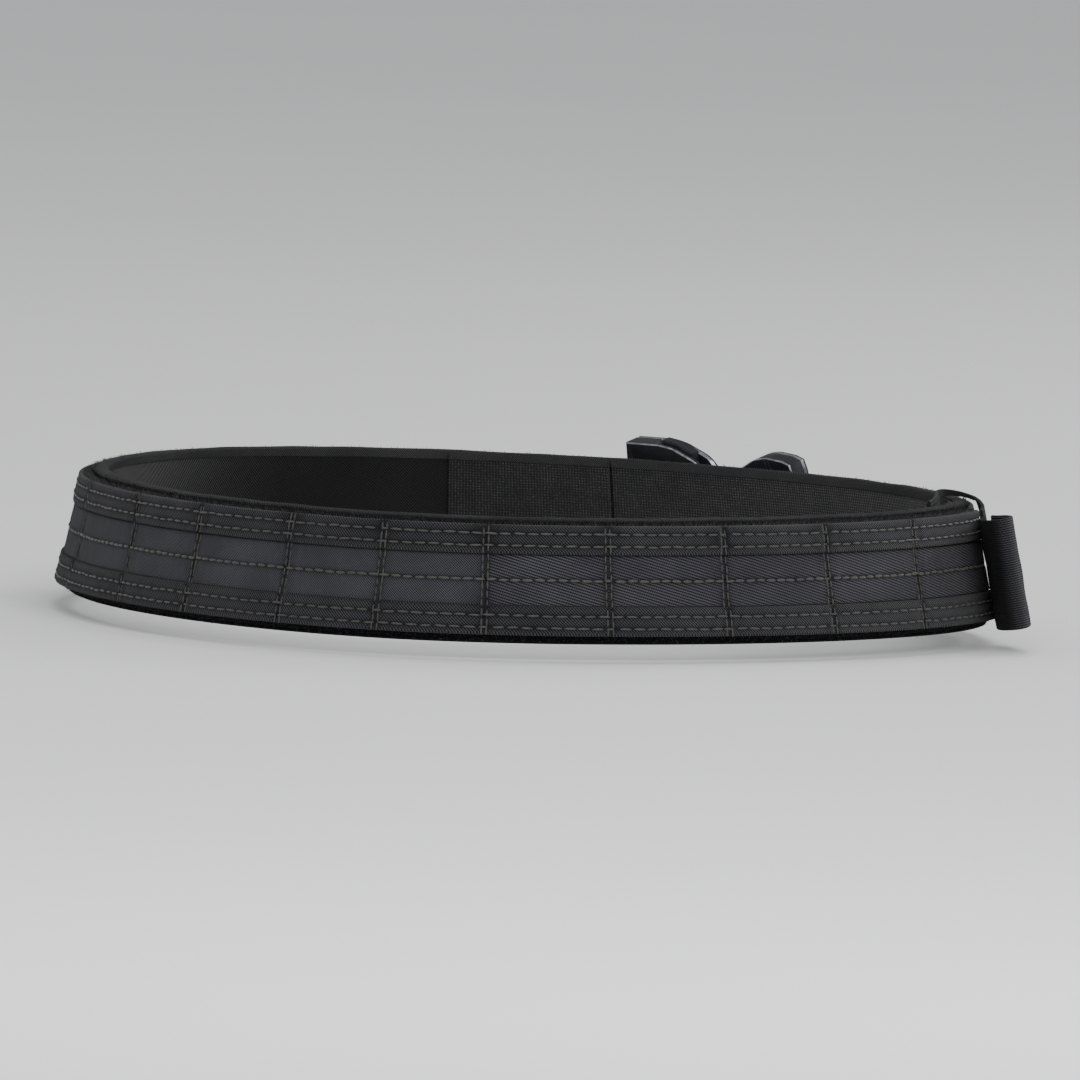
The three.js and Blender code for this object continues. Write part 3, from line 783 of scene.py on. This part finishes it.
def pull_loop():
    axes = face_frame(PANEL_END, 8.7 * MM)
    path = smooth_path([Vector((x, out, 0)) * MM for x, out in LOOP_PATH], 10)
    lows = [in_frame(axes, p.x, BELT_HEIGHT / 2 - LOOP_EDGES[0], p.y) for p in path]
    highs = [in_frame(axes, p.x, BELT_HEIGHT / 2 - LOOP_EDGES[1], p.y) for p in path]
    mesh = turned_outwards(ribbon_mesh("pull loop", lows, highs, LOOP_WEB_THICKNESS, 18, 0.35 * MM, 3.0))
    # Paints a shadow onto the loop's inner leg.
    store_painted_shade(mesh, loop_painted_shadow)
    new_piece("pull loop", mesh, "pull_loop", ["pull_loop"], "grey_webbing", LOOP_WEB)


# Plan angle in degrees, distance out, and the strap's low and high edges, both in millimetres.
TAB_STATIONS = [(353, 9, 8, 37.6), (356, 9.3, 14, 38.6), (358.6, 9, 28, 39.5), (360.8, 8, 38.4, 40.5),
                (362.6, 6.4, 39.8, 41.4), (363.7, 2.6, 40.7, 42.5), (362, -2, 40.8, 43.2),
                (359, -4.4, 39, 43.1), (355, -4.8, 37, 42.6), (349, -4.5, 36, 41.6), (343, -4.4, 35.4, 40.8)]


def end_tab():
    lows = smooth_path([hoop(a * DEG, out * MM, low * MM) for a, out, low, high in TAB_STATIONS], 10)
    highs = smooth_path([hoop(a * DEG, out * MM, high * MM) for a, out, low, high in TAB_STATIONS], 10)
    mesh = turned_outwards(ribbon_mesh("end tab", lows, highs, 1.3 * MM, 10, 0.1 * MM, 6.0))
    new_piece("end tab", mesh, "outer_belt", ["end_tab"], "black_webbing", BLACK_WEB)


# --- Buckle frame and front straps -----------------------------------------------------------------

BUCKLE_ANGLE = 56.5 * DEG
BUCKLE = face_frame(BUCKLE_ANGLE, 4.3 * MM)
BAR_X = 25 * MM
BAR_OUT = 2.9 * MM
EYE_RADIUS = 3.1 * MM
BAR_TURN = 6.6 * DEG
CORNER_ROUND = 1.9 * MM  # rounding of the buckle's outline
BLUNT_CORNER = (4 * DEG, 34 * DEG)
WIDE_WALL = 4.2 * MM  # narrower walls belong to holes and are left as they are


def strap_mesh(name, start, end, side):
    """A strap along the hoop whose end wraps round its bar; `side` is -1 for the left bar, 1 for the right
    one."""
    count = 60
    angles = [start + (end - start) * i / count for i in range(count + 1)]
    lows = [hoop(a, STRAP_OUT, STRAP_LOW) for a in angles]
    highs = [hoop(a, STRAP_OUT, STRAP_HIGH) for a in angles]
    half = (STRAP_HIGH - STRAP_LOW) / 2
    for i in range(1, 15):
        turn = math.pi / 2 - i * 20 * DEG
        along = side * (BAR_X - EYE_RADIUS * math.cos(turn))
        out = BAR_OUT + EYE_RADIUS * math.sin(turn)
        lows.append(in_frame(BUCKLE, along, half, out))
        highs.append(in_frame(BUCKLE, along, -half, out))
    return turned_outwards(ribbon_mesh(name, lows, highs, WEB, 14))


def front_straps():
    left = strap_mesh("left front strap", PANEL_START - 0.3 * DEG, BUCKLE_ANGLE + BAR_TURN, -1)
    new_piece("left front strap", left, "outer_belt", ["left_front_strap"], "black_webbing", BLACK_WEB)
    right = strap_mesh("right front strap", PANEL_END - FULL_TURN + 0.3 * DEG, BUCKLE_ANGLE - BAR_TURN, 1)
    right.materials.append(BLACK_WEB)
    right.shade_smooth()
    piece = bpy.data.objects.new("finished_right_front_strap", right)
    bpy.context.scene.collection.objects.link(piece)
    root = hoop(TAIL_END + 0.5 * DEG, STRAP_OUT, BELT_HEIGHT / 2)
    tip = hoop(BUCKLE_ANGLE - BAR_TURN + 0.6 * DEG, STRAP_OUT, BELT_HEIGHT / 2)
    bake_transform(piece)
    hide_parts("right_front_strap")
    tail_section = rounded_section(6.6 * MM, 8.2 * MM, STRAP_LOW, STRAP_HIGH, 0.8 * MM, 12)
    tail = hoop_band("strap tail", tail_section, TAIL_START, TAIL_END, 1.5 * MM)
    new_piece("strap tail", tail, "strap_tail", ["strap_tail"], "black_webbing", BLACK_WEB)


# --- Buckle ----------------------------------------------------------------------------------------

def is_outline_corner(edge):
    """A blunt corner between two wide side walls of the buckle, to be rounded off."""
    if len(edge.link_faces) != 2 or not BLUNT_CORNER[0] < edge.calc_face_angle() < BLUNT_CORNER[1]:
        return False
    start, end = (v.co for v in edge.verts)
    way = (end - start).normalized()
    if abs(way.dot(BUCKLE[3])) < 0.97:
        return False
    for wall in edge.link_faces:
        reach = max(((v.co - start) - way * (v.co - start).dot(way)).length for v in wall.verts)
        if reach < WIDE_WALL:
            return False
    return True


def bevelled_copy(name, node, body, slot, width, face, edge, rubbed, angle=28 * DEG):
    """The CAD part, blunt corners rounded and sharp edges broken; `rubbed` brightens the wearer's side."""
    work = bmesh.new()
    work.from_mesh(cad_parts[node].data)
    bmesh.ops.remove_doubles(work, verts=work.verts, dist=0.00002)
    bmesh.ops.dissolve_limit(work, angle_limit=1.5 * DEG, verts=work.verts, edges=work.edges)
    corners = [e for e in work.edges if is_outline_corner(e)]
    bmesh.ops.bevel(work, geom=corners, offset=CORNER_ROUND, segments=5, profile=0.5, affect="EDGES",
                    material=0, clamp_overlap=True, offset_type="OFFSET")
    sharp = [e for e in work.edges if len(e.link_faces) == 2 and e.calc_face_angle() > angle]
    bmesh.ops.bevel(work, geom=sharp, offset=width, segments=3, profile=0.6, affect="EDGES", material=0,
                    clamp_overlap=True, offset_type="OFFSET")
    for polygon in work.faces:
        lean = polygon.normal.dot(BUCKLE[3])
        if not rubbed:
            polygon.material_index = 0
        elif -0.93 < lean < -0.3:
            polygon.material_index = 1
    mesh = bpy.data.meshes.new(name)
    work.to_mesh(mesh)
    work.free()
    mesh.shade_smooth()
    mesh.set_sharp_from_angle(angle=32 * DEG)
    return new_piece(name, mesh, body, [node], slot, face, edge, smooth=False)


BUCKLE_SHELLS = (
    ("female_cover", "outer_belt"),
    ("female_body", "outer_belt"),
    ("male_body", "buckle_male"),
    ("male_cover", "buckle_male"),
    ("upper_lever", "upper_lever"),
    ("lower_lever", "lower_lever"),
)


def buckle():
    for node, body in BUCKLE_SHELLS:
        width = 0.35 * MM if "cover" in node else 0.25 * MM
        rubbed = "lever" not in node
        bevelled_copy(node.replace("_", " "), node, body, "gunmetal", width, GUNMETAL, EDGE_METAL, rubbed)
    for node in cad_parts:
        if any(word in node for word in ("screw", "bar", "pin", "spring", "catch")):
            finish_node(node, STEEL)


def finish_node(node, material):
    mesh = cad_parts[node].data
    mesh.materials.clear()
    mesh.materials.append(material)


# --- Stitches, pile and hooks ----------------------------------------------------------------------

def scatter_tree(name, form):
    """Geometry nodes that stand one small form on every point, turned by the points' own directions."""
    tree = bpy.data.node_groups.new(name, "GeometryNodeTree")
    face = tree.interface
    face.new_socket(name="Points", in_out="INPUT", socket_type="NodeSocketGeometry")
    face.new_socket(name="Size", in_out="INPUT", socket_type="NodeSocketVector")
    face.new_socket(name="Spread", in_out="INPUT", socket_type="NodeSocketFloat")
    face.new_socket(name="Seed", in_out="INPUT", socket_type="NodeSocketInt")
    face.new_socket(name="Material", in_out="INPUT", socket_type="NodeSocketMaterial")
    face.new_socket(name="Shapes", in_out="OUTPUT", socket_type="NodeSocketGeometry")
    node, link = tree.nodes.new, tree.links.new
    given, result = node("NodeGroupInput"), node("NodeGroupOutput")
    if form == "stitch":
        shape = node("GeometryNodeMeshIcoSphere")
        shape.inputs["Radius"].default_value = 0.5
        shape.inputs["Subdivisions"].default_value = 2
    else:
        shape = node("GeometryNodeMeshCone")
        shape.inputs["Vertices"].default_value = 4
        shape.inputs["Radius Top"].default_value = 0.12
        shape.inputs["Radius Bottom"].default_value = 0.5
        shape.inputs["Depth"].default_value = 1.0
    ways = []
    for attribute in ("along", "facing"):
        named = node("GeometryNodeInputNamedAttribute")
        named.data_type = "FLOAT_VECTOR"
        named.inputs["Name"].default_value = attribute
        ways.append(named.outputs["Attribute"])
    first = node("FunctionNodeAlignRotationToVector")
    first.axis = "X" if form == "stitch" else "Z"
    link(ways[0], first.inputs["Vector"])
    second = node("FunctionNodeAlignRotationToVector")
    second.axis, second.pivot_axis = ("Z", "X") if form == "stitch" else ("X", "Z")
    link(first.outputs[0], second.inputs["Rotation"])
    link(ways[1], second.inputs["Vector"])
    spread = node("FunctionNodeRandomValue")
    spread.data_type = "FLOAT"
    least = node("ShaderNodeMath")
    least.operation = "SUBTRACT"
    least.inputs[0].default_value = 1.0
    most = node("ShaderNodeMath")
    most.inputs[0].default_value = 1.0
    link(given.outputs["Spread"], least.inputs[1])
    link(given.outputs["Spread"], most.inputs[1])
    floats = [s for s in spread.inputs if s.type == "VALUE"]
    link(least.outputs[0], floats[0])
    link(most.outputs[0], floats[1])
    link(given.outputs["Seed"], spread.inputs["Seed"])
    size = node("ShaderNodeVectorMath")
    size.operation = "SCALE"
    link(given.outputs["Size"], size.inputs[0])
    link([s for s in spread.outputs if s.type == "VALUE"][0], size.inputs["Scale"])
    stand = node("GeometryNodeInstanceOnPoints")
    link(given.outputs["Points"], stand.inputs["Points"])
    link(shape.outputs["Mesh"], stand.inputs["Instance"])
    link(second.outputs[0], stand.inputs["Rotation"])
    link(size.outputs[0], stand.inputs["Scale"])
    real = node("GeometryNodeRealizeInstances")
    link(stand.outputs[0], real.inputs[0])
    paint = node("GeometryNodeSetMaterial")
    link(real.outputs[0], paint.inputs["Geometry"])
    link(given.outputs["Material"], paint.inputs["Material"])
    link(paint.outputs[0], result.inputs[0])
    return tree


STITCH_TREE = scatter_tree("row of stitches", "stitch")
HAIR_TREE = scatter_tree("row of hairs", "hair")


def scattered(name, tree, points, size, spread, seed, material, body, slot):
    """points: (place, along, facing) triples."""
    mesh = bpy.data.meshes.new(name + " points")
    mesh.from_pydata([p for p, _, _ in points], [], [])
    for attribute, k in (("along", 1), ("facing", 2)):
        layer = mesh.attributes.new(attribute, "FLOAT_VECTOR", "POINT")
        layer.data.foreach_set("vector", [c for point in points for c in point[k]])
    guide = bpy.data.objects.new(name, mesh)
    bpy.context.scene.collection.objects.link(guide)
    modifier = guide.modifiers.new("scatter", "NODES")
    modifier.node_group = tree
    values = {"Size": size, "Spread": spread, "Seed": seed, "Material": material}
    for socket in tree.interface.items_tree:
        if socket.in_out == "INPUT" and socket.name in values:
            modifier[socket.identifier] = values[socket.name]
    guide.update_tag()
    graph = bpy.context.evaluated_depsgraph_get()
    made = bpy.data.meshes.new_from_object(guide.evaluated_get(graph), depsgraph=graph)
    bpy.data.objects.remove(guide)
    made.name = name
    made.materials.clear()
    return new_piece(name, made, body, [], slot, material)


def along_hoop(arc, out, height):
    """A place on the hoop with the directions along it, up it and out of it."""
    angle = angle_at(arc)
    place = hoop(angle, out, height)
    along = (hoop(angle_at(arc + 0.5 * MM), out, height) - place).normalized()
    up = (hoop(angle, out, height + 1 * MM) - place).normalized()
    return place, along, up, outward(angle)


def face_out(arc, height):
    """Distance out of the outer belt's sewn face at a height."""
    flat = 8.0 * MM if OUTER_LOW + BAND_WIDTH < height < OUTER_HIGH - BAND_WIDTH else 8.8 * MM
    return flat + sewn(arc, height)


def row_stitches(height, pitch, chance, seed):
    picker = random.Random(seed)
    points = []
    arc = PANEL_ARC[0] + 3 * MM
    while arc < PANEL_ARC[1] - 2 * MM:
        place, along, up, facing = along_hoop(arc, face_out(arc, height) + 0.22 * MM, height)
        lean = picker.uniform(-0.05, 0.05)
        place += up * picker.uniform(-0.12, 0.12) * MM
        points.append((place, (along + up * lean).normalized(), facing))
        arc += pitch * picker.uniform(1 - chance, 1 + chance)
    return points


def column_stitches(seed):
    picker = random.Random(seed)
    points = []
    for column in COLUMNS:
        for shift in (-0.8 * MM, 0.8 * MM):
            height = OUTER_LOW + 1.2 * MM
            while height < OUTER_HIGH - 0.8 * MM:
                arc = column + shift + picker.uniform(-0.1, 0.1) * MM
                place, along, up, facing = along_hoop(arc, face_out(arc, height) + 0.14 * MM, height)
                points.append((place, (up + along * picker.uniform(-0.06, 0.06)).normalized(), facing))
                height += 2.9 * MM * picker.uniform(0.93, 1.07)
    return points


def rim_hairs(count, out, height, spread_out, spread_up, start, end, seed, lift):
    """Loose hairs standing up and out of a pile edge."""
    picker = random.Random(seed)
    points = []
    for _ in range(count):
        arc = picker.uniform(start, end)
        place, along, up, facing = along_hoop(
            arc, out + picker.uniform(0, spread_out), height + picker.uniform(0, spread_up))
        way = up * picker.uniform(*lift)
        way += facing * picker.uniform(0.1, 1.0)
        way += along * picker.uniform(-0.9, 0.9)
        points.append((place, way.normalized(), along))
    return points


def stitches_and_pile():
    rows = []
    for i, height in enumerate(STITCH_ROWS):
        if i != 2:
            rows += row_stitches(height, 4.4 * MM, 0.05, 10 + i)
    scattered("edge stitches", STITCH_TREE, rows, (3.8 * MM, 0.72 * MM, 0.6 * MM), 0.08, 3, GREY_THREAD,
              "outer_belt", "grey_twill")
    scattered("centre stitches", STITCH_TREE, row_stitches(STITCH_ROWS[2], 3.8 * MM, 0.05, 20),
              (3.4 * MM, 0.95 * MM, 0.75 * MM), 0.08, 4, GREY_THREAD, "outer_belt", "grey_webbing")
    scattered("column stitches", STITCH_TREE, column_stitches(30), (2.7 * MM, 0.55 * MM, 0.45 * MM), 0.1, 5,
              DARK_THREAD, "outer_belt", "grey_twill")
    hairs = rim_hairs(3600, 3.3 * MM, 38.6 * MM, 1.0 * MM, 0.6 * MM, 0.0, ROUND, 40, (0.3, 1.2))
    hairs += rim_hairs(2600, 3.9 * MM, 0.6 * MM, 0.2 * MM, 2.6 * MM, 0.0, ROUND, 41, (-0.6, 0.6))
    scattered("pile hairs", HAIR_TREE, hairs, (0.16 * MM, 0.16 * MM, 1.1 * MM), 0.5, 6, BLACK_PILE_HAIR,
              "inner_belt", "black_hook_and_loop")
    outer_hairs = rim_hairs(3600, 4.6 * MM, 37.2 * MM, 2.6 * MM, 0.7 * MM, *PANEL_ARC, 42, (0.3, 1.0))
    scattered("hook hairs", HAIR_TREE, outer_hairs, (0.17 * MM, 0.17 * MM, 1.2 * MM), 0.5, 8, BLACK_PILE_HAIR,
              "outer_belt", "black_hook_and_loop")
    hems = []
    for height in (37.2 * MM, 2.8 * MM):
        arc = 0.0
        while arc < ROUND:
            place, along, up, facing = along_hoop(arc, -0.02 * MM, height)
            hems.append((place, along, facing))
            arc += 3.0 * MM
    scattered("hem stitches", STITCH_TREE, hems, (2.5 * MM, 0.4 * MM, 0.3 * MM), 0.08, 7, BLACK_THREAD,
              "inner_belt", "black_webbing")


outer_belt()
inner_belt()
pull_loop()
end_tab()
front_straps()
buckle()
stitches_and_pile()
make_camera()
make_floor()
make_lights()
